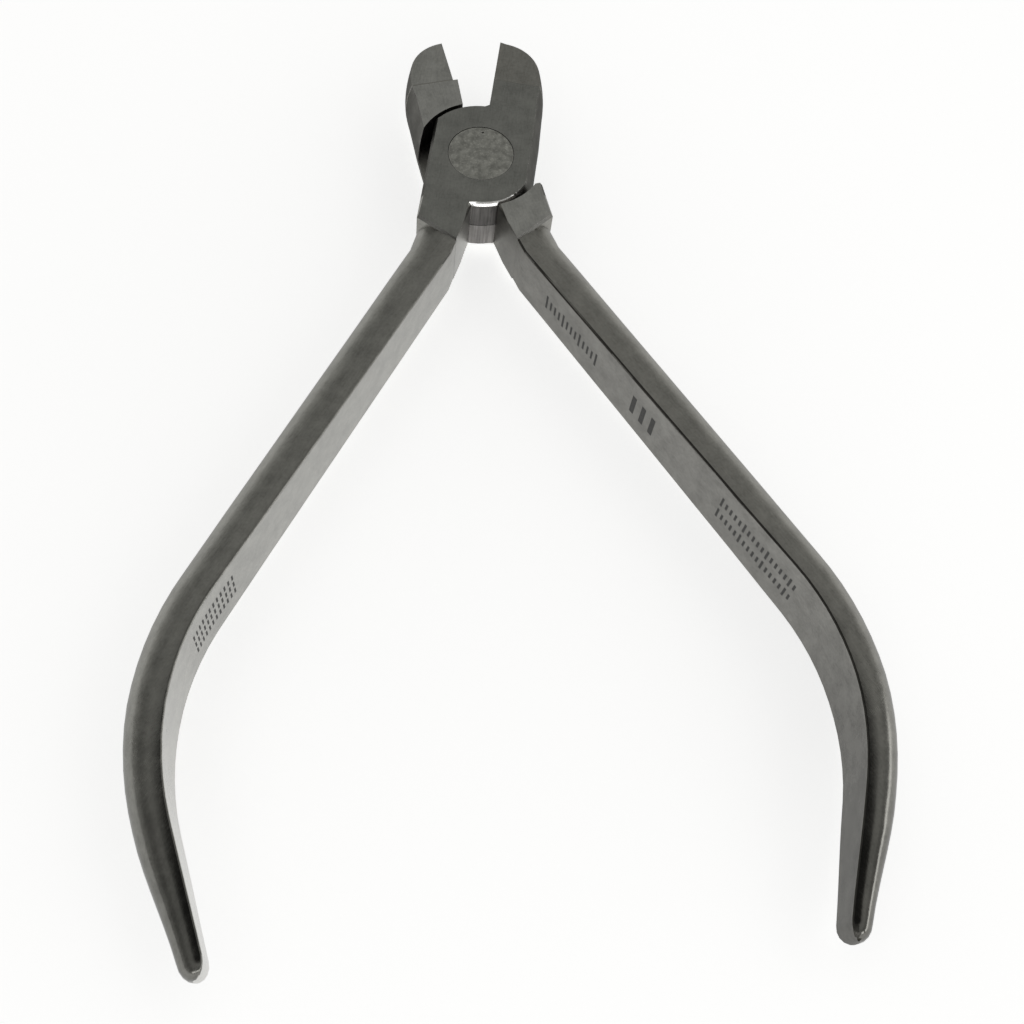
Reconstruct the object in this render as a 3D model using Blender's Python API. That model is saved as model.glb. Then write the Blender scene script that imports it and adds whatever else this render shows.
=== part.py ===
"""Lap-joint hand cutter with brazed cutting tips, modelled half open.

World frame: the tool lies flat, +Z is up, the jaws point along +Y and the handles
along -Y. The origin is the centre of the pivot on the rear face of the joint.
Both halves are drawn in the closed position, with the closing plane at X = 0, and
are then turned about the pivot by half of the jaw opening. The front half carries
the left handle and the right jaw, the rear half the right handle and the left jaw.
"""
import math

import bmesh
import bpy
from mathutils import Matrix, Vector

# ---------------------------------------------------------------- driving sizes, in metres
JAW_OPENING = math.radians(22.0)           # angle between the jaws as modelled

JOINT_THICKNESS = 0.0090                   # front face to rear face of the joint
LAP_GAP = 0.00010                          # between the faces of the two laps
LAP_RADIUS = 0.00815                       # rounded ends of each lap
POCKET_CLEARANCE = 0.00020                 # lap end to the pocket wall of the other half
LAP_CHAMFER = 0.00035                      # width of the bevel round the lap
LAP_CHAMFER_DEPTH = 0.00055

JAW_SIDE_WIDTH = LAP_RADIUS - 0.00080      # pivot to the outer side of the jaw
HANDLE_SIDE_WIDTH = LAP_RADIUS - 0.00150   # pivot to the outer side of the handle root
SIDE_CROWN = 0.00105                       # how far the crowned outer side falls back at the faces
CROWN_START = math.radians(62.0)           # the lap's bevel widens into the crown above this angle

TIP_SEAM_HEIGHT = LAP_RADIUS + 0.00445     # braze seam above the pivot
BEAK_BASE = TIP_SEAM_HEIGHT - 0.0018       # the beak starts to round here
BEAK_LENGTH = 0.0085
BEAK_WIDTH = JAW_SIDE_WIDTH - 0.00020
BEAK_ROUNDNESS = 2.3                       # exponent of the beak outline
BEAK_CROWN_FADE = 0.85                     # share of the crown that is gone at the beak's end
BEAK_REAR_TAPER = 0.0016                   # the rear face rises by this much at the beak end
BEAK_FRONT_TAPER = 0.00015

BRAZE_THICKNESS = 0.00008
BRAZE_GAP = 0.00002
EDGE_HEIGHT = 0.0053                       # cutting edge above the rear face
EDGE_GAP = 0.00004                         # between the closing plane and each jaw
EDGE_RELIEF = 0.0016                       # the tip falls back by this much at its rear face
LEFT_TIP_SETBACK = 0.00062                 # front edge of the left tip, from its cutting edge
LEFT_JAW_RELIEF = 0.00045                  # left jaw below the tip, at the lap

SHOULDER_INNER = LAP_RADIUS + 0.00595      # lower corner of the flat shoulder, inner side
SHOULDER_OUTER = LAP_RADIUS + 0.00315      # and outer side
SHOULDER_STEP = 0.00028                    # bevel from the shoulder down to the handle
SHOULDER_STEP_DEPTH = 0.00045
POCKET_CORNER = LAP_RADIUS - 0.00205       # the pocket's thin lower corner is cut off, below the pivot
POCKET_CORNER_TOP = 0.0030
POCKET_CORNER_SIDE = LAP_RADIUS - 0.00315
CROTCH_GAP = 0.00012                       # inner edge of each half to the closing plane at the lap

HANDLE_INSET = 0.00002                     # the handle's inner face sits behind the shoulder's
HANDLE_START = LAP_RADIUS + 0.00185        # the handle grows out of the shoulder from here down
ROOT_ANGLE = math.radians(10.5)            # inner face of the handle, from the closing plane
ROOT_END = LAP_RADIUS + 0.00785
ROOT_BLEND = 0.0040                        # the shank takes up its own angle over this length
SHANK_ANGLE = math.radians(21.15)
SHANK_END = ROOT_END + 0.0493              # the shank ends this far below the pivot
ELBOW_RADIUS = 0.0315
GRIP_ANGLE = math.radians(-25.3)
GRIP_LENGTH = 0.0138
HANDLE_ROUNDNESS = 2.35                    # exponent of the rounded outer side
HANDLE_EDGE = 0.00028                      # radius along the inner edges
HANDLE_END_ROUNDING = 0.7                  # length of the rounded end, as a share of its width
HANDLE_END_DEPTH = 0.35                    # share of the depth that is left at the very end

# share of the handle's length, width in the plane, depth along Z
HANDLE_SECTIONS = (
    (0.00, 0.0058, 0.0084),
    (0.10, 0.0057, 0.0086),
    (0.30, 0.0055, 0.0094),
    (0.50, 0.0053, 0.0104),
    (0.62, 0.0051, 0.0112),
    (0.74, 0.0049, 0.0108),
    (0.88, 0.0043, 0.0089),
    (1.00, 0.0029, 0.0061),
)

HEAD_RADIUS = 0.00425                      # flush disc on the front face
HEAD_THICKNESS = 0.0021
HEAD_FIT = 0.00006
JOURNAL_RADIUS = 0.0029
JOURNAL_FIT = 0.00005                      # radial play of the turning joint
NUT_RADIUS = 0.0037
NUT_THICKNESS = 0.0019
NUT_FIT = 0.00006
THREAD_RADIUS = JOURNAL_RADIUS - 0.0007    # at the end of the screw, inside the nut
THREAD_FIT = 0.00004
HEAD_DROP = 0.00003                        # the head sits this far below the front face
SPANNER_HOLE_RADIUS = 0.00040
SPANNER_HOLE_PLACE = (THREAD_RADIUS + NUT_RADIUS) / 2
SPANNER_HOLE_DEPTH = 0.00070
LOCK_PIN_RADIUS = 0.00014
LOCK_PIN_LENGTH = 0.0040
LOCK_PIN_PLACE = JOURNAL_RADIUS + 0.00055  # from the pivot axis
LOCK_PIN_ANGLE = math.radians(94.0)
LOCK_PIN_FIT = 0.00002
LOCK_PIN_DROP = 0.00030                    # the pin is punched in below the disc

# ---------------------------------------------------------------- fineness of the surfaces
ROUND_SEGMENTS = 88
HOLE_SEGMENTS = 16
PIN_SEGMENTS = 12
ARC_STEP = math.radians(4.0)
BEAK_POINTS = 20
SECTION_POINTS = 21
HANDLE_STATIONS = 46
ROOT_STATIONS = 5
END_STATIONS = 4
SIDE_POINTS = 5
CROWN_LEVELS = (0.3, 0.5, 0.75)            # shares of the half thickness where the crown has a corner
SHARP_ANGLE = math.radians(28.0)

# ---------------------------------------------------------------- worked out from the sizes
MIDDLE = JOINT_THICKNESS / 2
POCKET_RADIUS = LAP_RADIUS + POCKET_CLEARANCE
PINCH = BRAZE_GAP + BRAZE_THICKNESS / 2
CUT_MARGIN = 0.002                         # cutters reach this far past what they cut
WELD = 0.000003                            # corners closer than this are one corner
FLAT_ANGLE = math.radians(0.2)


# ---------------------------------------------------------------- general helpers
def clear_scene():
    for item in list(bpy.data.objects):
        bpy.data.objects.remove(item)


def material(name, colour, roughness):
    made = bpy.data.materials.new(name)
    made.use_nodes = True
    shader = made.node_tree.nodes["Principled BSDF"]
    shader.inputs["Base Color"].default_value = (*colour, 1.0)
    shader.inputs["Roughness"].default_value = roughness
    shader.inputs["Metallic"].default_value = 1.0
    return made


def as_object(mesh_tool, name):
    mesh_tool.normal_update()
    bmesh.ops.triangulate(mesh_tool, faces=mesh_tool.faces)
    bmesh.ops.recalc_face_normals(mesh_tool, faces=mesh_tool.faces)
    mesh = bpy.data.meshes.new(name)
    mesh_tool.to_mesh(mesh)
    mesh_tool.free()
    made = bpy.data.objects.new(name, mesh)
    bpy.context.scene.collection.objects.link(made)
    return made


def stacked(name, rings):
    """A closed solid through rings of equal length, capped at both ends."""
    tool = bmesh.new()
    rows = [[tool.verts.new(point) for point in ring] for ring in rings]
    count = len(rows[0])
    for low, high in zip(rows, rows[1:]):
        for i in range(count):
            j = (i + 1) % count
            tool.faces.new((low[i], low[j], high[j], high[i]))
    tool.faces.new(list(reversed(rows[0])))
    tool.faces.new(rows[-1])
    return as_object(tool, name)


def prism(name, outline, bottom, top):
    rings = [[(x, y, z) for x, y in outline] for z in (bottom, top)]
    return stacked(name, rings)


def circle(radius, centre=(0.0, 0.0), segments=ROUND_SEGMENTS):
    turn = math.tau / segments
    return [(centre[0] + radius * math.cos(i * turn), centre[1] + radius * math.sin(i * turn))
            for i in range(segments)]


def box(name, low, high):
    outline = [(low[0], low[1]), (high[0], low[1]), (high[0], high[1]), (low[0], high[1])]
    return prism(name, outline, low[2], high[2])


def side_prism(name, outline, low, high):
    """A prism along Y whose outline lies in the XZ plane."""
    rings = [[(x, y, z) for x, z in outline] for y in (low, high)]
    return stacked(name, rings)


def combine(base, tool, operation):
    """Joins, cuts or intersects base with tool, and removes the tool."""
    step = base.modifiers.new(operation, "BOOLEAN")
    step.operation = operation
    step.solver = "EXACT"
    step.object = tool
    graph = bpy.context.evaluated_depsgraph_get()
    mesh = bpy.data.meshes.new_from_object(base.evaluated_get(graph))
    base.modifiers.clear()
    base.data = mesh
    bpy.data.objects.remove(tool)
    return base


def tidied(made):
    """Joins corners that a cut left almost touching, and merges flat stretches."""
    tool = bmesh.new()
    tool.from_mesh(made.data)
    bmesh.ops.remove_doubles(tool, verts=tool.verts, dist=WELD)
    bmesh.ops.dissolve_limit(tool, angle_limit=FLAT_ANGLE, verts=tool.verts, edges=tool.edges)
    tool.normal_update()
    bmesh.ops.triangulate(tool, faces=tool.faces)
    tool.to_mesh(made.data)
    tool.free()
    return made


def copy_of(source, name):
    made = bpy.data.objects.new(name, source.data.copy())
    bpy.context.scene.collection.objects.link(made)
    return made


def turned_over(source):
    """Turns a mesh by 180 degrees about the line X = 0 through the middle of the joint."""
    centre = Matrix.Translation((0.0, 0.0, MIDDLE))
    source.data.transform(centre @ Matrix.Rotation(math.pi, 4, "Y") @ centre.inverted())
    return source


# ---------------------------------------------------------------- outline of a half
def arc(radius, start, end):
    count = max(2, round(abs(end - start) / ARC_STEP))
    angles = [start + (end - start) * i / count for i in range(count + 1)]
    return [(radius * math.cos(a), radius * math.sin(a)) for a in angles]


def beak_outline():
    """The rounded back of the beak, from its outer side up to the cutting edge."""
    points = []
    for i in range(BEAK_POINTS + 1):
        angle = math.pi / 2 * i / BEAK_POINTS
        across = math.cos(angle) ** (2 / BEAK_ROUNDNESS)
        along = math.sin(angle) ** (2 / BEAK_ROUNDNESS)
        points.append((BEAK_WIDTH * across, BEAK_BASE + BEAK_LENGTH * along))
    points[-1] = (EDGE_GAP, BEAK_BASE + BEAK_LENGTH)
    return points


def inner_line(depth):
    """X of the handle's inner edge, on the left, at a distance below the pivot."""
    return -(CROTCH_GAP + (depth - LAP_RADIUS) * math.tan(ROOT_ANGLE))


def half_outline():
    """Joint, jaw and shoulder of the front half, anticlockwise, as (x, y, kind)."""
    jaw_low = -math.acos(JAW_SIDE_WIDTH / LAP_RADIUS)
    handle_high = math.pi - math.acos(HANDLE_SIDE_WIDTH / LAP_RADIUS)
    crotch = -math.pi / 2 - CROTCH_GAP / LAP_RADIUS
    points = [(x, y, "lap") for x, y in arc(LAP_RADIUS, crotch, -CROWN_START)[:-1]]
    points += [(x, y, "corner") for x, y in arc(LAP_RADIUS, -CROWN_START, jaw_low)[:-1]]
    low = LAP_RADIUS * math.sin(jaw_low)
    straight = [low + (BEAK_BASE / 2 - low) * i / SIDE_POINTS for i in range(SIDE_POINTS + 1)]
    points += [(JAW_SIDE_WIDTH, y, "side") for y in straight]
    beak = beak_outline()
    points += [(x, y, "beak") for x, y in beak[:-1]]
    points.append((*beak[-1], "edge"))
    top = arc(LAP_RADIUS, math.acos(EDGE_GAP / LAP_RADIUS), handle_high)
    points.append((*top[0], "edge"))
    points += [(x, y, "lap") for x, y in top[1:-1]]
    points.append((*top[-1], "root"))
    high = LAP_RADIUS * math.sin(handle_high)
    straight = [high + (-SHOULDER_OUTER - high) * i / SIDE_POINTS for i in range(1, SIDE_POINTS)]
    points += [(-HANDLE_SIDE_WIDTH, y, "root") for y in straight]
    points.append((-HANDLE_SIDE_WIDTH, -SHOULDER_OUTER, "step"))
    points.append((inner_line(SHOULDER_INNER), -SHOULDER_INNER, "step"))
    middle_depth = (SHOULDER_INNER + LAP_RADIUS) / 2
    points.append((inner_line(middle_depth), -middle_depth, "inner"))
    return points


def setback(kind, height, depth):
    """How far the outline falls back at a depth below the nearer face."""
    if kind in ("side", "beak"):
        fade = 1.0
        if kind == "beak":
            fade = 1.0 - BEAK_CROWN_FADE * (height - BEAK_BASE) / BEAK_LENGTH
        share = 1.0 - depth / MIDDLE
        return SIDE_CROWN * fade * share ** 2
    if kind == "corner":
        start = -LAP_RADIUS * math.sin(CROWN_START)
        end = -math.sqrt(LAP_RADIUS ** 2 - JAW_SIDE_WIDTH ** 2)
        share = (height - start) / (end - start)
        return (1.0 - share) * setback("lap", height, depth) + share * setback("side", height, depth)
    if kind == "step":
        return SHOULDER_STEP * max(0.0, 1.0 - depth / SHOULDER_STEP_DEPTH)
    if kind in ("lap", "root"):
        return LAP_CHAMFER * max(0.0, 1.0 - depth / LAP_CHAMFER_DEPTH)
    return 0.0


def inward(points):
    """A unit vector into the outline at each point, square to its neighbours."""
    vectors = []
    count = len(points)
    for i in range(count):
        before, after = points[i - 1], points[(i + 1) % count]
        along = Vector((after[0] - before[0], after[1] - before[1])).normalized()
        vectors.append((-along.y, along.x))
    return vectors


def half_block():
    points = half_outline()
    normals = inward(points)
    depths = [0.0, LAP_CHAMFER_DEPTH, SHOULDER_STEP_DEPTH]
    depths = sorted(depths + [share * MIDDLE for share in CROWN_LEVELS])
    levels = [(JOINT_THICKNESS - d, d) for d in depths]
    levels += [(MIDDLE, MIDDLE)]
    levels += [(d, d) for d in reversed(depths)]
    rings = []
    for z, depth in levels:
        ring = []
        for (x, y, kind), (nx, ny) in zip(points, normals):
            back = setback(kind, y, depth)
            ring.append((x + nx * back, y + ny * back, z))
        rings.append(ring)
    return stacked("half_block", rings)


# ---------------------------------------------------------------- handle
def handle_path():
    """Points of the left handle's inner face: (x, y, heading from the closing plane)."""
    points = []
    for i in range(ROOT_STATIONS):
        depth = HANDLE_START + (ROOT_END - HANDLE_START) * i / ROOT_STATIONS
        points.append((inner_line(depth) - HANDLE_INSET, -depth, ROOT_ANGLE))
    corner = Vector((inner_line(ROOT_END) - HANDLE_INSET, -ROOT_END))
    shank = (SHANK_END - ROOT_END) / math.cos(SHANK_ANGLE)
    turn = SHANK_ANGLE - GRIP_ANGLE
    elbow = ELBOW_RADIUS * turn
    total = shank + elbow + GRIP_LENGTH
    along_shank = Vector((-math.sin(SHANK_ANGLE), -math.cos(SHANK_ANGLE)))
    along_grip = Vector((-math.sin(GRIP_ANGLE), -math.cos(GRIP_ANGLE)))
    elbow_start = corner + along_shank * shank
    centre = elbow_start + Vector((math.cos(SHANK_ANGLE), -math.sin(SHANK_ANGLE))) * ELBOW_RADIUS
    elbow_end = centre - Vector((math.cos(GRIP_ANGLE), -math.sin(GRIP_ANGLE))) * ELBOW_RADIUS
    for i in range(HANDLE_STATIONS + 1):
        run = total * i / HANDLE_STATIONS
        if run <= shank:
            heading = SHANK_ANGLE
            if run < ROOT_BLEND:
                heading = ROOT_ANGLE + (SHANK_ANGLE - ROOT_ANGLE) * (0.5 + 0.5 * run / ROOT_BLEND)
            spot = corner + along_shank * run
        elif run <= shank + elbow:
            heading = SHANK_ANGLE - (run - shank) / ELBOW_RADIUS
            spot = centre - Vector((math.cos(heading), -math.sin(heading))) * ELBOW_RADIUS
        else:
            heading = GRIP_ANGLE
            spot = elbow_end + along_grip * (run - shank - elbow)
        points.append((spot.x, spot.y, heading))
    return points


def handle_size(share):
    """Width and depth of the handle, eased between the named sections."""
    for low, high in zip(HANDLE_SECTIONS, HANDLE_SECTIONS[1:]):
        if share <= high[0]:
            t = (share - low[0]) / (high[0] - low[0])
            t = t * t * (3 - 2 * t) * 0.5 + t * 0.5
            return tuple(a + (b - a) * t for a, b in zip(low[1:], high[1:]))
    return HANDLE_SECTIONS[-1][1:]


def handle_section(width, depth):
    """Flat inner face with rounded edges and a rounded outer side, as (out, z)."""
    edge = min(HANDLE_EDGE, width / 4, depth / 4)
    half = depth / 2
    points = []
    for i in range(SECTION_POINTS):
        angle = math.pi / 2 - math.pi * i / (SECTION_POINTS - 1)
        out = abs(math.cos(angle)) ** (2 / HANDLE_ROUNDNESS)
        up = math.copysign(abs(math.sin(angle)) ** (2 / HANDLE_ROUNDNESS), math.sin(angle))
        points.append((edge + (width - edge) * out, half * up))
    lower = []
    for i in range(1, 4):
        angle = math.pi / 2 * i / 3
        lower.append((edge - edge * math.sin(angle), half - edge + edge * math.cos(angle)))
    points += [(out, -up) for out, up in lower]
    points += list(reversed(lower))
    return points


def handle():
    path = handle_path()
    rings = []
    steps = len(path) - 1
    for i, (x, y, heading) in enumerate(path):
        rings.append(handle_ring(x, y, heading, i / steps, 1.0))
    x, y, heading = path[-1]
    width = handle_size(1.0)[0]
    for i in range(1, END_STATIONS + 1):
        angle = math.pi / 2 * i / (END_STATIONS + 0.5)
        run = HANDLE_END_ROUNDING * width * math.sin(angle)
        spot = (x - math.sin(heading) * run, y - math.cos(heading) * run)
        rings.append(handle_ring(*spot, heading, 1.0, math.cos(angle)))
    return stacked("handle", rings)


def handle_ring(x, y, heading, share, shrink):
    width, depth = handle_size(share)
    outward = (-math.cos(heading), math.sin(heading))
    ring = []
    for out, up in handle_section(width, depth):
        out = width / 2 + (out - width / 2) * shrink
        up = up * (HANDLE_END_DEPTH + (1.0 - HANDLE_END_DEPTH) * shrink)
        ring.append((x + outward[0] * out, y + outward[1] * out, MIDDLE + up))
    return ring


# ---------------------------------------------------------------- one half, closed position
def half_blank():
    """The forging of the front half, with its jaw still in one piece."""
    made = combine(half_block(), handle(), "UNION")
    split = MIDDLE + LAP_GAP / 2
    pocket = prism("pocket", circle(POCKET_RADIUS, segments=2 * ROUND_SEGMENTS), -CUT_MARGIN, split)
    combine(made, pocket, "DIFFERENCE")
    corner = box("corner", (-POCKET_RADIUS - CUT_MARGIN, -POCKET_CORNER, -CUT_MARGIN),
                 (-POCKET_CORNER_SIDE, -POCKET_CORNER_TOP, split))
    return combine(made, corner, "DIFFERENCE")


def beak_cutter(rise, at_rear):
    """A wedge that thins the beak from its base to its end."""
    reach = JAW_SIDE_WIDTH + CUT_MARGIN
    end = BEAK_BASE + BEAK_LENGTH + CUT_MARGIN
    slope = rise / (BEAK_BASE + BEAK_LENGTH - TIP_SEAM_HEIGHT)
    lift = slope * (end - TIP_SEAM_HEIGHT)
    if at_rear:
        profile = [(TIP_SEAM_HEIGHT, 0.0), (end, lift), (end, -CUT_MARGIN),
                   (TIP_SEAM_HEIGHT, -CUT_MARGIN)]
    else:
        top = JOINT_THICKNESS
        profile = [(TIP_SEAM_HEIGHT, top), (end, top - lift), (end, top + CUT_MARGIN),
                   (TIP_SEAM_HEIGHT, top + CUT_MARGIN)]
    rings = [[(x, y, z) for y, z in profile] for x in (-reach, reach)]
    return stacked("beak_cutter", rings)


def split_jaw(blank, side, names):
    """Cuts the blank at the braze seam, and grinds the tip's cutting edge."""
    jaw_name, tip_name, braze_name = names
    reach = JAW_SIDE_WIDTH + CUT_MARGIN
    for rise, at_rear in ((BEAK_REAR_TAPER, True), (BEAK_FRONT_TAPER, False)):
        combine(blank, beak_cutter(rise, at_rear), "DIFFERENCE")
    bottom, top = -CUT_MARGIN, JOINT_THICKNESS + CUT_MARGIN
    end = BEAK_BASE + BEAK_LENGTH + CUT_MARGIN
    slabs = {
        tip_name: (TIP_SEAM_HEIGHT + PINCH, end),
        braze_name: (TIP_SEAM_HEIGHT - BRAZE_THICKNESS / 2, TIP_SEAM_HEIGHT + BRAZE_THICKNESS / 2),
    }
    made = {}
    for name, (low, high) in slabs.items():
        slab = box("slab", (-reach, low, bottom), (reach, high, top))
        made[name] = combine(copy_of(blank, name), slab, "INTERSECT")
        combine(made[name], edge_cutter(side, low, high), "DIFFERENCE")
    slab = box("slab", (-reach, TIP_SEAM_HEIGHT - PINCH, bottom), (reach, end, top))
    made[jaw_name] = combine(blank, slab, "DIFFERENCE")
    made[jaw_name].name = jaw_name
    return made


def edge_cutter(side, low, high):
    """What is ground away beside the closing plane; side is 1 on the right, -1 on the left."""
    profile = [(-CUT_MARGIN, -CUT_MARGIN), (EDGE_GAP + EDGE_RELIEF, -CUT_MARGIN),
               (EDGE_GAP + EDGE_RELIEF, 0.0), (EDGE_GAP, EDGE_HEIGHT)]
    if side < 0:
        top = JOINT_THICKNESS + CUT_MARGIN
        front = EDGE_GAP + LEFT_TIP_SETBACK
        profile += [(front, JOINT_THICKNESS), (front, top), (-CUT_MARGIN, top)]
    else:
        profile.append((-CUT_MARGIN, EDGE_HEIGHT))
    outline = [(side * x, z) for x, z in profile]
    return side_prism("edge_cutter", outline, low - CUT_MARGIN, high + CUT_MARGIN)


def left_jaw_relief():
    """A thin wedge off the left jaw's inner face, widest at the lap."""
    low = LAP_RADIUS - CUT_MARGIN / 2
    outline = [(-LEFT_JAW_RELIEF, low), (CUT_MARGIN, low), (CUT_MARGIN, TIP_SEAM_HEIGHT),
               (-EDGE_GAP, TIP_SEAM_HEIGHT)]
    return prism("left_jaw_relief", outline, -CUT_MARGIN, JOINT_THICKNESS + CUT_MARGIN)


# ---------------------------------------------------------------- pivot
def pivot_holes_front():
    head_seat = JOINT_THICKNESS - HEAD_THICKNESS
    cuts = [prism("head_seat", circle(HEAD_RADIUS + HEAD_FIT), head_seat - HEAD_FIT,
                  JOINT_THICKNESS + CUT_MARGIN)]
    cuts.append(prism("journal_bore", circle(JOURNAL_RADIUS + JOURNAL_FIT), -CUT_MARGIN,
                      JOINT_THICKNESS))
    cuts.append(pin_bore(JOINT_THICKNESS - LOCK_PIN_LENGTH - LOCK_PIN_FIT))
    return cuts


def pivot_holes_rear():
    cuts = [prism("nut_seat", circle(NUT_RADIUS + NUT_FIT), -CUT_MARGIN, NUT_THICKNESS + NUT_FIT)]
    cuts.append(prism("journal_bore", circle(JOURNAL_RADIUS + JOURNAL_FIT), 0.0,
                      JOINT_THICKNESS + CUT_MARGIN))
    return cuts


def lock_pin_outline(radius):
    centre = (LOCK_PIN_PLACE * math.cos(LOCK_PIN_ANGLE), LOCK_PIN_PLACE * math.sin(LOCK_PIN_ANGLE))
    return circle(radius, centre, PIN_SEGMENTS)


def pin_bore(low):
    outline = lock_pin_outline(LOCK_PIN_RADIUS + LOCK_PIN_FIT)
    return prism("pin_bore", outline, low, JOINT_THICKNESS + CUT_MARGIN)


def turned(name, profile):
    """A turned solid from (radius, z) pairs, listed from the bottom up."""
    rings = [[(x, y, z) for x, y in circle(radius)] for radius, z in profile]
    return stacked(name, rings)


def pivot_screw():
    head_low = JOINT_THICKNESS - HEAD_THICKNESS
    top = JOINT_THICKNESS - HEAD_DROP
    shoulder = NUT_THICKNESS + 2 * NUT_FIT
    profile = [(THREAD_RADIUS, 0.0), (THREAD_RADIUS, shoulder), (JOURNAL_RADIUS, shoulder),
               (JOURNAL_RADIUS, head_low), (HEAD_RADIUS, head_low), (HEAD_RADIUS, top)]
    made = turned("pivot_screw", profile)
    return combine(made, pin_bore(head_low - CUT_MARGIN), "DIFFERENCE")


def pivot_nut():
    made = turned("pivot_nut", [(NUT_RADIUS, 0.0), (NUT_RADIUS, NUT_THICKNESS)])
    bore = prism("thread", circle(THREAD_RADIUS + THREAD_FIT), -CUT_MARGIN, NUT_THICKNESS + CUT_MARGIN)
    combine(made, bore, "DIFFERENCE")
    for side in (-1, 1):
        outline = circle(SPANNER_HOLE_RADIUS, (side * SPANNER_HOLE_PLACE, 0.0), HOLE_SEGMENTS)
        hole = prism("spanner_hole", outline, -CUT_MARGIN, SPANNER_HOLE_DEPTH)
        combine(made, hole, "DIFFERENCE")
    return made


def lock_pin():
    top = JOINT_THICKNESS - LOCK_PIN_DROP
    low = JOINT_THICKNESS - LOCK_PIN_LENGTH
    return prism("lock_pin", lock_pin_outline(LOCK_PIN_RADIUS), low, top)


# ---------------------------------------------------------------- the whole tool
def build():
    clear_scene()
    forged = material("satin_steel", (0.40, 0.40, 0.38), 0.34)
    carbide = material("ground_carbide", (0.36, 0.36, 0.35), 0.40)
    braze = material("silver_braze", (0.62, 0.59, 0.52), 0.30)
    ground = material("ground_steel", (0.52, 0.51, 0.48), 0.45)

    front_blank = half_blank()
    rear_blank = turned_over(copy_of(front_blank, "rear_half"))
    front = split_jaw(front_blank, 1, ("front_half", "right_cutting_tip", "right_braze_seam"))
    combine(rear_blank, left_jaw_relief(), "DIFFERENCE")
    rear = split_jaw(rear_blank, -1, ("rear_half", "left_cutting_tip", "left_braze_seam"))
    for cutter in pivot_holes_front():
        combine(front["front_half"], cutter, "DIFFERENCE")
    for cutter in pivot_holes_rear():
        combine(rear["rear_half"], cutter, "DIFFERENCE")
    front["pivot_screw"] = pivot_screw()
    front["pivot_nut"] = pivot_nut()
    front["lock_pin"] = lock_pin()

    finishes = {"half": forged, "cutting_tip": carbide, "braze_seam": braze}
    for group, side in ((front, -1), (rear, 1)):
        for name, made in group.items():
            tidied(made)
            finish = next((look for key, look in finishes.items() if key in name), ground)
            made.data.materials.clear()
            made.data.materials.append(finish)
            made.data.shade_smooth()
            made.data.set_sharp_from_angle(angle=SHARP_ANGLE)
            made.rotation_euler.z = side * JAW_OPENING / 2


build()
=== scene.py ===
"""Looks of the lap-joint nippers: fine meshes worked from the CAD frame, metal finishes, studio.

The tool lies flat, the jaws point along +Y, and the pivot stands on the Z axis. Each piece is made
from its CAD node: the copy is cleaned, its faces are sorted by finish, and its edges are rounded.
"""
import math

import bmesh
import bpy
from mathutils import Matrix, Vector
from mathutils.bvhtree import BVHTree


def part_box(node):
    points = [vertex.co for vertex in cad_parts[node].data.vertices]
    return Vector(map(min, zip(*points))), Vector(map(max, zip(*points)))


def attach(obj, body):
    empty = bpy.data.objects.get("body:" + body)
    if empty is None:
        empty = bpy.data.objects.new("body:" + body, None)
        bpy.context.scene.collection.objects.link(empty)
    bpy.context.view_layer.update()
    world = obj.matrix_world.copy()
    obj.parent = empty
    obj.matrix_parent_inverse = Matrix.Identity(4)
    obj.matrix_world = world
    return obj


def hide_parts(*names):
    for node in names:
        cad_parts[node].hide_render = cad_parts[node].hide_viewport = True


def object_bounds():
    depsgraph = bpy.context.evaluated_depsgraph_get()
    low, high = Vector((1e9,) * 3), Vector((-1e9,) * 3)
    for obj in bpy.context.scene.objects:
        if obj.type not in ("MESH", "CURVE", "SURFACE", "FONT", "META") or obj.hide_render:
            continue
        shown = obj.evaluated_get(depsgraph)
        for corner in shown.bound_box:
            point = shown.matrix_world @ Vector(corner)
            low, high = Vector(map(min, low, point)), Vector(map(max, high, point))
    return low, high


MM = 0.001

# ---------------------------------------------------------------- sizes taken up from the CAD
JOINT_THICKNESS = 9.0 * MM
LAP_RADIUS = 8.15 * MM
POCKET_RADIUS = 8.35 * MM
HANDLE_LEAN = math.radians(32.2)       # the shanks, from the Y axis

# Places along the tool, in Y
GRIP_WEAR_AND_PAINTED_LIGHT = (-92.0 * MM, -62.0 * MM)   # worn smoothest, with painted light and shade strongest, at the first place; as made at the second
SIDE_END = -7.0 * MM                   # the forged outer sides lie above this line
INNER_FACE_START = -8.5 * MM           # the handles' inner faces lie below this line
CREASE_START = -13.0 * MM              # and their rounded inner edges below this one
JOINT_END = -17.0 * MM                 # the flat faces of the joint lie above this line
STEP_SPAN = (-17.0 * MM, -8.0 * MM)    # the step from each shoulder down to its handle

# Slack round the sizes above, for telling faces apart
FACE_SLACK = 0.05 * MM
LAP_SLACK = 0.08 * MM
LAP_BEVEL_REACH = 0.5 * MM             # the bevels lie this far inside the lap's radius at most

# How level a face is: the size of its normal's Z part, 0 for an upright wall and 1 for a level face
WALL_MOST = 0.2
INNER_FACE_MOST = 0.3
OUTER_SIDE_MOST = 0.75
LEVEL_LEAST = 0.98
LAP_BEVEL_SPAN = (0.3, 0.9)
STEP_SLOPE_SPAN = (0.15, 0.97)
INNER_EDGE_SPAN = (0.25, 0.97)

# The most that a normal's Y part may be: these faces look back towards the grips
LAP_BEVEL_TURN = -0.1
STEP_TURN = -0.3

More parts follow.
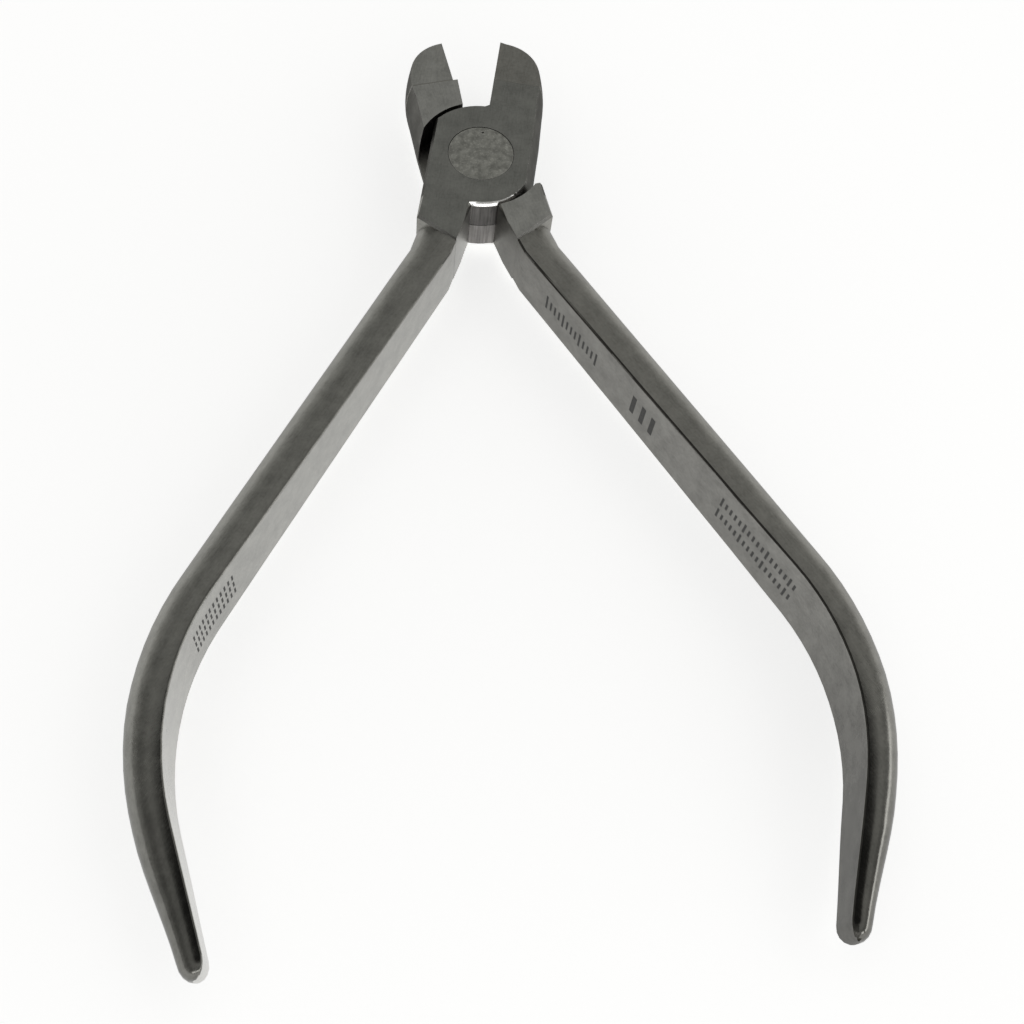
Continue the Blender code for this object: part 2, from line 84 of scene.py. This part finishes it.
# ---------------------------------------------------------------- how meshes are worked
MERGE_DISTANCE = 0.002 * MM
FLAT_ANGLE = math.radians(0.05)        # facets that meet at less are one face
ROUNDED_ABOVE = math.radians(32.0)     # edges sharper than this are rounded
SHADED_SHARP = math.radians(40.0)      # edges sharper than this break the shading
THIN_STRIP = 0.1 * MM                  # the edges of thinner strips are left sharp
EDGE_ROUND = 0.055 * MM
FINE_EDGE_ROUND = 0.025 * MM
SEAM_EDGE_ROUND = 0.005 * MM
PIN_EDGE_ROUND = 0.010 * MM
ROUND_SEGMENTS = 2
MARK_LIFT = 0.006 * MM                 # etched marks stand this far off the steel

# ---------------------------------------------------------------- texture
NOISE_SPAN = (0.3, 0.7)                # where nearly all of a noise's values lie
SHARP_SPAN = (0.35, 0.65)              # the same with more contrast
GROUND_LEAN = 0.2                      # radians: the grinding marks, from the Y axis
MIX_COLOUR_A, MIX_COLOUR_B, MIX_COLOUR_OUT = 6, 7, 2   # a mix node's colour sockets

# ---------------------------------------------------------------- studio
FLOOR_REACH = 1.6
FLOOR_GLOW = 0.70
SKY_AXIS = (0.12, -0.12, 0.985)        # the room's brightness follows the height along this axis
SKY_LEVELS = ((0.0, 0.44), (0.16, 0.42), (0.32, 0.24), (0.55, 0.24), (0.71, 0.35), (0.86, 0.33),
              (0.93, 0.03))
SKY_WARMTH = 0.97                      # blue, as a share of red and green
SKY_GAIN = (0.92, 1.40)                # at the far left and at the far right
LIT_SPOT = (0.0, -0.03, 0.0)
SENSOR = 36.0
LENS = 49.22
CLOSEST = 0.01
CAMERA_PLACE = (-0.0153914, -0.1184681, 0.1536495)
CAMERA_ANGLES = (25.086977, -4.579953, -3.776834)

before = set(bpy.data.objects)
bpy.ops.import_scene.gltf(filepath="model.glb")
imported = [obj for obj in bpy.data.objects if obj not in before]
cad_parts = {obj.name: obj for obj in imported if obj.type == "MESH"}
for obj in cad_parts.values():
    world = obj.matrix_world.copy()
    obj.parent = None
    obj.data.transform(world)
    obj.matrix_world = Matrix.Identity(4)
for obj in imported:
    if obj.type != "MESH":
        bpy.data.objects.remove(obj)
cad_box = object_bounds()
FLOOR = cad_box[0][2]
PIECES = {
    "front_half": "front",
    "right_cutting_tip": "front",
    "right_braze_seam": "front",
    "pivot_screw": "front",
    "pivot_nut": "front",
    "lock_pin": "front",
    "rear_half": "rear",
    "left_cutting_tip": "rear",
    "left_braze_seam": "rear",
}


# ---------------------------------------------------------------- shader building
class Shader:
    """A material with a Principled shader and short calls for the nodes used here."""

    def __init__(self, name, colour, roughness, metallic=1.0, edge_tint=1.0):
        self.material = bpy.data.materials.new(name)
        self.material.use_nodes = True
        self.nodes = self.material.node_tree.nodes
        self.links = self.material.node_tree.links
        self.main = self.nodes["Principled BSDF"]
        self.main.inputs["Base Color"].default_value = (*colour, 1.0)
        self.main.inputs["Roughness"].default_value = roughness
        self.main.inputs["Metallic"].default_value = metallic
        self.main.inputs["Specular Tint"].default_value = (edge_tint, edge_tint, edge_tint, 1.0)
        self.place = self.nodes.new("ShaderNodeTexCoord").outputs["Object"]

    def turned(self, angle, scale):
        """Object coordinates turned about Z, and then stretched."""
        turn = self.nodes.new("ShaderNodeMapping")
        turn.inputs["Rotation"].default_value = (0.0, 0.0, angle)
        self.links.new(self.place, turn.inputs["Vector"])
        stretch = self.nodes.new("ShaderNodeMapping")
        stretch.inputs["Scale"].default_value = scale
        self.links.new(turn.outputs[0], stretch.inputs["Vector"])
        return stretch.outputs[0]

    def along(self):
        """The place along the tool: Y in metres."""
        split = self.nodes.new("ShaderNodeSeparateXYZ")
        self.links.new(self.place, split.inputs[0])
        return split.outputs["Y"]

    def noise(self, place, scale, detail=3.0):
        node = self.nodes.new("ShaderNodeTexNoise")
        node.inputs["Scale"].default_value = scale
        node.inputs["Detail"].default_value = detail
        node.inputs["Roughness"].default_value = 0.6
        self.links.new(place, node.inputs["Vector"])
        return node.outputs["Fac"]

    def ranged(self, value, source, target):
        """The value carried from one span to another, and held at the ends."""
        node = self.nodes.new("ShaderNodeMapRange")
        for name, number in zip(("From Min", "From Max", "To Min", "To Max"), source + target):
            node.inputs[name].default_value = number
        self.links.new(value, node.inputs["Value"])
        return node.outputs[0]

    def maths(self, operation, a, b):
        node = self.nodes.new("ShaderNodeMath")
        node.operation = operation
        for i, value in enumerate((a, b)):
            if isinstance(value, float):
                node.inputs[i].default_value = value
            else:
                self.links.new(value, node.inputs[i])
        return node.outputs[0]

    def coloured(self, factor, dark, light, shade=None):
        """Colour between dark and light, and then multiplied by the shade if one is given."""
        node = self.nodes.new("ShaderNodeMix")
        node.data_type = "RGBA"
        node.inputs[MIX_COLOUR_A].default_value = (*dark, 1.0)
        node.inputs[MIX_COLOUR_B].default_value = (*light, 1.0)
        self.links.new(factor, node.inputs[0])
        colour = node.outputs[MIX_COLOUR_OUT]
        if shade is not None:
            scaled = self.nodes.new("ShaderNodeVectorMath")
            scaled.operation = "SCALE"
            self.links.new(colour, scaled.inputs[0])
            self.links.new(shade, scaled.inputs["Scale"])
            colour = scaled.outputs[0]
        self.links.new(colour, self.main.inputs["Base Color"])

    def roughened(self, value):
        self.links.new(value, self.main.inputs["Roughness"])

    def bumped(self, height, strength, distance):
        node = self.nodes.new("ShaderNodeBump")
        node.inputs["Strength"].default_value = strength
        node.inputs["Distance"].default_value = distance
        self.links.new(height, node.inputs["Height"])
        self.links.new(node.outputs[0], self.main.inputs["Normal"])


def share_of(colour, share):
    return tuple(c * share for c in colour)


def satin_steel(name, colour, roughness, lean, grain=1.0, grip_painted_light=1.0, grip_polish=0.15,
                edge_tint=0.7):
    """Brushed along the handle, mottled and finely pitted; worn smoother, with painted light and
    shade, at the grips.
    """
    look = Shader(name, colour, roughness, edge_tint=edge_tint)
    brushing = look.noise(look.turned(lean, scale=(1.0, 0.10, 1.0)), scale=6000.0)
    blotches = look.noise(look.place, scale=420.0, detail=6.0)
    pits = look.noise(look.place, scale=3000.0)
    scratches = look.noise(look.turned(lean + 0.5, scale=(1.0, 0.03, 1.0)), scale=1500.0,
                           detail=1.0)
    mottle = look.maths("ADD", look.ranged(blotches, SHARP_SPAN, (0.0, 0.4)),
                        look.ranged(pits, NOISE_SPAN, (0.0, 0.3)))
    tone = look.maths("ADD", look.ranged(brushing, NOISE_SPAN, (0.0, 0.3)), mottle)
    # Painted light and shade: the colour is scaled along the tool, darker at the grip ends of the
    # crowns and lighter on the front inner face.
    shade = look.ranged(look.along(), GRIP_WEAR_AND_PAINTED_LIGHT, (grip_painted_light, 1.0))
    look.coloured(tone, share_of(colour, 0.68), share_of(colour, 1.30), shade)
    rough = look.ranged(tone, (0.0, 1.0), (roughness - 0.05, roughness + 0.06))
    rough = look.maths("SUBTRACT", rough, look.ranged(scratches, (0.66, 0.78), (0.0, 0.03)))
    polish = look.ranged(look.along(), GRIP_WEAR_AND_PAINTED_LIGHT, (grip_polish, 0.0))
    look.roughened(look.maths("SUBTRACT", rough, polish))
    height = look.maths("ADD", look.maths("MULTIPLY", brushing, 0.6),
                        look.maths("MULTIPLY", pits, 0.8))
    look.bumped(height, strength=0.40 * grain, distance=0.014 * MM)
    return look.material


def machined_steel(name, colour, roughness):
    """Cutter marks that run along Z, as on the milled ends of the laps."""
    look = Shader(name, colour, roughness)
    marks = look.noise(look.turned(0.0, scale=(1.0, 1.0, 0.04)), scale=3600.0, detail=4.0)
    blotches = look.noise(look.place, scale=500.0)
    tone = look.maths("ADD", look.ranged(marks, SHARP_SPAN, (0.0, 0.7)),
                      look.ranged(blotches, NOISE_SPAN, (0.0, 0.3)))
    look.coloured(tone, share_of(colour, 0.55), share_of(colour, 1.25))
    look.roughened(look.ranged(tone, (0.0, 1.0), (roughness + 0.08, roughness - 0.08)))
    look.bumped(marks, strength=0.5, distance=0.02 * MM)
    return look.material


def polished_steel(name, colour, roughness):
    """Bevels and worn edges: polished and painted bright as a highlight, with faint smears."""
    look = Shader(name, colour, roughness)
    smears = look.noise(look.place, scale=900.0, detail=4.0)
    look.coloured(look.ranged(smears, NOISE_SPAN, (0.0, 1.0)), share_of(colour, 0.9), colour)
    look.roughened(look.ranged(smears, NOISE_SPAN, (roughness - 0.04, roughness + 0.06)))
    look.bumped(look.noise(look.place, scale=4000.0, detail=2.0), strength=0.08,
                distance=0.004 * MM)
    return look.material


def mottled_steel(name, colour, roughness):
    """The ground end of the pivot: a cloudy surface with small bright grains."""
    look = Shader(name, colour, roughness)
    clouds = look.noise(look.place, scale=1100.0, detail=5.0)
    grains = look.noise(look.place, scale=4400.0)
    tone = look.maths("ADD", look.ranged(clouds, SHARP_SPAN, (0.0, 0.6)),
                      look.ranged(grains, (0.54, 0.72), (0.0, 0.50)))
    look.coloured(tone, share_of(colour, 0.72), share_of(colour, 1.40))
    look.roughened(look.ranged(tone, (0.0, 1.0), (roughness + 0.06, roughness - 0.10)))
    look.bumped(grains, strength=0.5, distance=0.014 * MM)
    return look.material


def etched_mark(name):
    """Laser marks, dark and matt."""
    look = Shader(name, (0.02, 0.02, 0.018), roughness=0.6, metallic=0.2)
    grains = look.noise(look.place, scale=6000.0)
    look.coloured(look.ranged(grains, NOISE_SPAN, (0.0, 1.0)),
                  dark=(0.012, 0.012, 0.011), light=(0.045, 0.044, 0.040))
    look.bumped(grains, strength=0.2, distance=0.005 * MM)
    return look.material


LOOKS = {
    "front_satin": satin_steel("front_satin_steel", (0.30, 0.297, 0.275), 0.34, HANDLE_LEAN,
                               grain=1.2, grip_painted_light=0.60),
    "rear_satin": satin_steel("rear_satin_steel", (0.30, 0.295, 0.272), 0.35, -HANDLE_LEAN,
                              grain=1.2, grip_painted_light=0.60, grip_polish=0.21),
    # Painted light and shade: the inner faces of both handles are one steel, painted lighter on the
    # front handle and darker on the rear, also through their edge reflection.
    "front_inner": satin_steel("front_inner_painted_light_steel", (0.35, 0.347, 0.327), 0.36, HANDLE_LEAN,
                               grain=2.6, grip_painted_light=1.4, edge_tint=1.0),
    "rear_inner": satin_steel("rear_inner_painted_shade_steel", (0.265, 0.261, 0.246), 0.36, -HANDLE_LEAN,
                              grain=2.6, grip_painted_light=0.7, edge_tint=0.5),
    # Painted shade: a near-black copy of the satin for the rounded inner edge of the rear handle,
    # where a dark line runs between the inner face and the crown.
    "painted_crease_shade": satin_steel("crease_painted_shade_steel", (0.07, 0.068, 0.062), 0.40, -HANDLE_LEAN,
                          grip_polish=0.1, edge_tint=0.3),
    "front_ground": satin_steel("front_ground_steel", (0.285, 0.287, 0.268), 0.36, GROUND_LEAN,
                                grain=0.8),
    "rear_ground": satin_steel("rear_ground_steel", (0.46, 0.46, 0.435), 0.42, -GROUND_LEAN,
                               grain=3.0),
    # Painted shade: the outer sides, the steps down to the handles and the sides of the tips are
    # darker than the satin, with a weak edge reflection.
    "side": satin_steel("forged_side_painted_shade_steel", (0.17, 0.168, 0.158), 0.42, 0.0,
                        grain=1.6, grip_polish=0.0, edge_tint=0.3),
    "tip_side": satin_steel("ground_side_painted_shade_metal", (0.19, 0.188, 0.178), 0.40, 0.0,
                            grip_polish=0.0, edge_tint=0.3),
    "right_tip": satin_steel("right_tip_metal", (0.31, 0.305, 0.28), 0.33, GROUND_LEAN,
                             grain=0.7),
    "left_tip": satin_steel("left_tip_metal", (0.42, 0.42, 0.395), 0.38, GROUND_LEAN,
                            grain=0.9),
    "front_milled": machined_steel("front_milled_steel", (0.12, 0.115, 0.11), 0.36),
    "rear_milled": machined_steel("rear_milled_steel", (0.25, 0.24, 0.23), 0.36),
    # Partly real, partly painted highlight: the lap bevel and the worn edges round the joint are
    # polished, and their near-white colour paints them brighter still.
    "bevel": polished_steel("polished_bevel_painted_highlight", (0.92, 0.91, 0.89), 0.18),
    "edge": polished_steel("worn_edge_painted_highlight", (0.66, 0.65, 0.62), 0.26),
    "pivot": mottled_steel("ground_pivot", (0.43, 0.43, 0.395), 0.44),
    "braze": polished_steel("silver_braze", (0.42, 0.41, 0.37), 0.34),
    "mark": etched_mark("etched_mark"),
}


# ---------------------------------------------------------------- telling faces apart
def is_between(value, span):
    return span[0] < value < span[1]


def radius_of(face):
    centre = face.calc_center_median()
    return math.hypot(centre.x, centre.y)


def looks_inward(face):
    """Whether the face looks towards the middle plane between the handles."""
    return face.calc_center_median().x * face.normal.x < 0


def is_lap_bevel(face):
    """The sloping strip between a face of the joint and the round end of its lap."""
    sloping = is_between(abs(face.normal.z), LAP_BEVEL_SPAN) and face.normal.y < LAP_BEVEL_TURN
    ring = (LAP_RADIUS - LAP_BEVEL_REACH, LAP_RADIUS + FACE_SLACK)
    return sloping and is_between(radius_of(face), ring)


def is_lap_wall(face):
    """Upright faces on the round ends of the laps and on the pocket walls."""
    ring = (LAP_RADIUS - LAP_SLACK, POCKET_RADIUS + FACE_SLACK)
    return abs(face.normal.z) < WALL_MOST and is_between(radius_of(face), ring)


def is_joint_face(face):
    """The flat front and rear faces of the joint, its jaw and its shoulder."""
    centre = face.calc_center_median()
    off_middle = abs(centre.z - JOINT_THICKNESS / 2)
    outermost = off_middle > JOINT_THICKNESS / 2 - FACE_SLACK
    return abs(face.normal.z) > LEVEL_LEAST and centre.y > JOINT_END and outermost


def is_inner_face(face):
    """The flat faces of the handles that look at each other."""
    below = face.calc_center_median().y < INNER_FACE_START
    return below and abs(face.normal.z) < INNER_FACE_MOST and looks_inward(face)


def is_side(face):
    """The forged outer sides of the jaws and shoulders, and the step down to the handle."""
    centre = face.calc_center_median()
    level = abs(face.normal.z)
    outer = centre.y > SIDE_END and level < OUTER_SIDE_MOST and centre.x * face.normal.x > 0
    step = (is_between(centre.y, STEP_SPAN) and is_between(level, STEP_SLOPE_SPAN)
            and face.normal.y < STEP_TURN)
    return outer or step


def is_inner_edge(face):
    """The rounding between a handle's inner face and its crown."""
    below = face.calc_center_median().y < CREASE_START
    return below and is_between(abs(face.normal.z), INNER_EDGE_SPAN) and looks_inward(face)


# A face takes the first of these kinds that fits it, if its piece has a finish for that kind.
KINDS = {
    "lap_bevel": is_lap_bevel,
    "lap_wall": is_lap_wall,
    "joint_face": is_joint_face,
    "inner_face": is_inner_face,
    "side": is_side,
    "inner_edge": is_inner_edge,
}


def kind_of(face, finish):
    for kind, fits in KINDS.items():
        if kind in finish and fits(face):
            return kind
    return "main"


# ---------------------------------------------------------------- meshes worked from the frame
def cleaned(node):
    """The node's mesh as one closed net of clean polygons."""
    tool = bmesh.new()
    tool.from_mesh(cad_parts[node].data)
    bmesh.ops.remove_doubles(tool, verts=tool.verts, dist=MERGE_DISTANCE)
    bmesh.ops.dissolve_limit(tool, angle_limit=FLAT_ANGLE, verts=tool.verts, edges=tool.edges)
    tool.normal_update()
    return tool


def strip_width(face, edge):
    return face.calc_area() / edge.calc_length()


def rounded(tool, width, kinds):
    """Rounds every sharp edge. Round the joint, the new strips take the look of worn edges, painted
    bright as a highlight.
    """
    sharp = []
    for edge in tool.edges:
        if edge.calc_face_angle(0.0) > ROUNDED_ABOVE:
            if min(strip_width(face, edge) for face in edge.link_faces) > THIN_STRIP:
                sharp.append(edge)
    for near_joint, kind in ((True, "edge"), (False, "main")):
        chosen = [edge for edge in sharp if edge.is_valid
                  and (edge.verts[0].co.y + edge.verts[1].co.y > 2 * JOINT_END) == near_joint]
        bmesh.ops.bevel(tool, geom=chosen, offset=width, offset_type="OFFSET",
                        segments=ROUND_SEGMENTS, profile=0.5, affect="EDGES", clamp_overlap=True,
                        miter_outer="ARC", material=kinds.index(kind))
    tool.normal_update()


def add_object(name, tool, looks):
    """Makes an object from a bmesh, with the looks as its materials in order."""
    mesh = bpy.data.meshes.new(name)
    tool.to_mesh(mesh)
    tool.free()
    for look in looks:
        mesh.materials.append(LOOKS[look])
    made = bpy.data.objects.new(name, mesh)
    bpy.context.scene.collection.objects.link(made)
    return made


def piece_from(node, finish, width):
    """Makes the fine piece for a node. finish gives a look for each kind of face."""
    kinds = list(finish)
    tool = cleaned(node)
    for face in tool.faces:
        face.material_index = kinds.index(kind_of(face, finish))
    rounded(tool, width, kinds)
    piece = add_object(node + "_fine", tool, finish.values())
    piece.data.shade_smooth()
    piece.data.set_sharp_from_angle(angle=SHADED_SHARP)
    piece.modifiers.new("faces_flat", "WEIGHTED_NORMAL").keep_sharp = True
    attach(piece, PIECES[node])
    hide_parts(node)
    return piece


def half_finish(side, inner_edge):
    """The finishes of a forged half; side is front or rear."""
    return {
        "main": side + "_satin",
        "edge": "edge",
        "lap_wall": side + "_milled",
        "lap_bevel": "bevel",
        "joint_face": side + "_ground",
        "inner_face": side + "_inner",
        "side": "side",
        "inner_edge": inner_edge,
    }


def make_pieces():
    right_tip = {"main": "right_tip", "edge": "edge", "side": "tip_side"}
    left_tip = {"main": "left_tip", "edge": "edge", "side": "tip_side"}
    braze = {"main": "braze", "edge": "braze"}
    pivot = {"main": "pivot", "edge": "edge"}
    pin = {"main": "mark", "edge": "mark"}
    recipes = {
        "front_half": (half_finish("front", "front_satin"), EDGE_ROUND, "satin_steel"),
        # the rounded inner edge of the rear handle takes painted shade
        "rear_half": (half_finish("rear", "painted_crease_shade"), EDGE_ROUND, "satin_steel"),
        "right_cutting_tip": (right_tip, FINE_EDGE_ROUND, "ground_carbide"),
        "left_cutting_tip": (left_tip, FINE_EDGE_ROUND, "ground_carbide"),
        "right_braze_seam": (braze, SEAM_EDGE_ROUND, "silver_braze"),
        "left_braze_seam": (braze, SEAM_EDGE_ROUND, "silver_braze"),
        "pivot_screw": (pivot, EDGE_ROUND, "ground_steel"),
        "pivot_nut": (pivot, EDGE_ROUND, "ground_steel"),
        "lock_pin": (pin, PIN_EDGE_ROUND, "ground_steel"),
    }
    for node, (finish, width, slot) in recipes.items():
        piece_from(node, finish, width)


# ---------------------------------------------------------------- generic etched marks
def inner_face_point(tree, side, y, z):
    """The point just off a handle's inner face at a given place along the tool."""
    spot, normal, _, _ = tree.ray_cast(Vector((0.0, y, z)), Vector((side, 0.0, 0.0)))
    return spot + normal * MARK_LIFT


def etched_bars(name, node, side, start, bars):
    """Short bars in a row on a handle's inner face; bars holds (gap, length, height, rise)."""
    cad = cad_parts[node].data
    tree = BVHTree.FromPolygons([v.co for v in cad.vertices],
                                [f.vertices[:] for f in cad.polygons])
    tool = bmesh.new()
    y = start
    middle = (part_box(node)[0].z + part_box(node)[1].z) / 2
    for gap, length, height, rise in bars:
        y -= gap
        corners = ((y, rise - height / 2), (y - length, rise - height / 2),
                   (y - length, rise + height / 2), (y, rise + height / 2))
        points = [inner_face_point(tree, side, v, middle + w) for v, w in corners]
        tool.faces.new([tool.verts.new(p) for p in points])
        y -= length
    bmesh.ops.recalc_face_normals(tool, faces=tool.faces)
    piece = add_object(name, tool, ["mark"])
    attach(piece, PIECES[node])


def bar_row(count, gap, length, height, rise=0.0, tall_every=0, taller=0.0):
    """Bars for etched_bars from sizes in millimetres. Every few bars one is taller."""
    bars = []
    for i in range(count):
        extra = taller if tall_every and i % tall_every == 0 else 0.0
        bars.append((gap * MM, length * MM, (height + extra) * MM, rise * MM))
    return bars


def make_marks():
    """On the rear handle ticks, three bands and two rules; on the front handle a block."""
    etched_bars("rear_handle_ticks", "rear_half", 1.0, -19.5 * MM,
                bar_row(13, gap=0.42, length=0.30, height=1.7, tall_every=4, taller=0.9))
    etched_bars("rear_handle_bands", "rear_half", 1.0, -34.0 * MM,
                bar_row(3, gap=0.9, length=0.65, height=3.6))
    for name, rise in (("upper", 1.6), ("lower", -1.2)):
        etched_bars("rear_handle_rule_" + name, "rear_half", 1.0, -49.0 * MM,
                    bar_row(17, gap=0.40, length=0.30, height=1.3, rise=rise, tall_every=5,
                            taller=0.7))
    for name, rise in (("upper", 1.9), ("middle", 0.1), ("lower", -1.7)):
        etched_bars("front_handle_block_" + name, "front_half", -1.0, -57.0 * MM,
                    bar_row(12, gap=0.38, length=0.26, height=1.2, rise=rise))


# ---------------------------------------------------------------- studio
def make_floor():
    mesh = bpy.data.meshes.new("floor")
    reach = FLOOR_REACH
    corners = [(-reach, -reach), (reach, -reach), (reach, reach), (-reach, reach)]
    mesh.from_pydata([(x, y, FLOOR) for x, y in corners], [], [(0, 1, 2, 3)])
    floor = bpy.data.objects.new("floor", mesh)
    look = Shader("white_floor", (0.90, 0.90, 0.90), roughness=0.9, metallic=0.0)
    look.main.inputs["Emission Color"].default_value = (1.0, 1.0, 1.0, 1.0)
    look.main.inputs["Emission Strength"].default_value = FLOOR_GLOW
    mesh.materials.append(look.material)
    bpy.context.scene.collection.objects.link(floor)


def soft_light(name, place, size, power):
    """An area light that looks at the tool."""
    lamp = bpy.data.lights.new(name, "AREA")
    lamp.shape = "RECTANGLE"
    lamp.size, lamp.size_y = size
    lamp.energy = power
    made = bpy.data.objects.new(name, lamp)
    made.location = place
    aim = Vector(LIT_SPOT) - Vector(place)
    made.rotation_euler = aim.to_track_quat("-Z", "Y").to_euler()
    bpy.context.scene.collection.objects.link(made)


def make_light():
    """A dim room over a bright table: pale low down, dark right above, with low bright strips."""
    world = bpy.data.worlds.new("studio")
    bpy.context.scene.world = world
    world.use_nodes = True
    nodes, links = world.node_tree.nodes, world.node_tree.links
    way = nodes.new("ShaderNodeTexCoord").outputs["Generated"]
    split = nodes.new("ShaderNodeSeparateXYZ")
    links.new(way, split.inputs[0])
    height = nodes.new("ShaderNodeVectorMath")
    height.operation = "DOT_PRODUCT"
    height.inputs[1].default_value = SKY_AXIS
    links.new(way, height.inputs[0])
    ramp = nodes.new("ShaderNodeValToRGB")
    while len(ramp.color_ramp.elements) < len(SKY_LEVELS):
        ramp.color_ramp.elements.new(0.5)
    for element, (share, level) in zip(ramp.color_ramp.elements, SKY_LEVELS):
        element.position = share
        element.color = (level, level, level * SKY_WARMTH, 1.0)
    gain = nodes.new("ShaderNodeMapRange")
    for name, number in zip(("From Min", "From Max", "To Min", "To Max"), (-1.0, 1.0) + SKY_GAIN):
        gain.inputs[name].default_value = number
    links.new(height.outputs["Value"], ramp.inputs["Fac"])
    links.new(split.outputs["X"], gain.inputs["Value"])
    links.new(ramp.outputs["Color"], nodes["Background"].inputs["Color"])
    links.new(gain.outputs[0], nodes["Background"].inputs["Strength"])
    soft_light("front_strip", place=(0.15, -0.90, 0.17), size=(1.1, 0.15), power=1.2)
    soft_light("right_strip", place=(0.85, -0.28, 0.09), size=(0.8, 0.16), power=0.8)


def make_camera():
    lens = bpy.data.cameras.new("camera")
    lens.sensor_width = SENSOR
    lens.lens = LENS
    lens.clip_start = CLOSEST
    camera = bpy.data.objects.new("camera", lens)
    camera.location = CAMERA_PLACE
    camera.rotation_euler = [math.radians(angle) for angle in CAMERA_ANGLES]
    bpy.context.scene.collection.objects.link(camera)
    bpy.context.scene.camera = camera
    bpy.context.scene.view_settings.view_transform = "Standard"


make_camera()
make_light()
make_floor()
make_pieces()
make_marks()


def corners(box):
    return [list(corner) for corner in box]
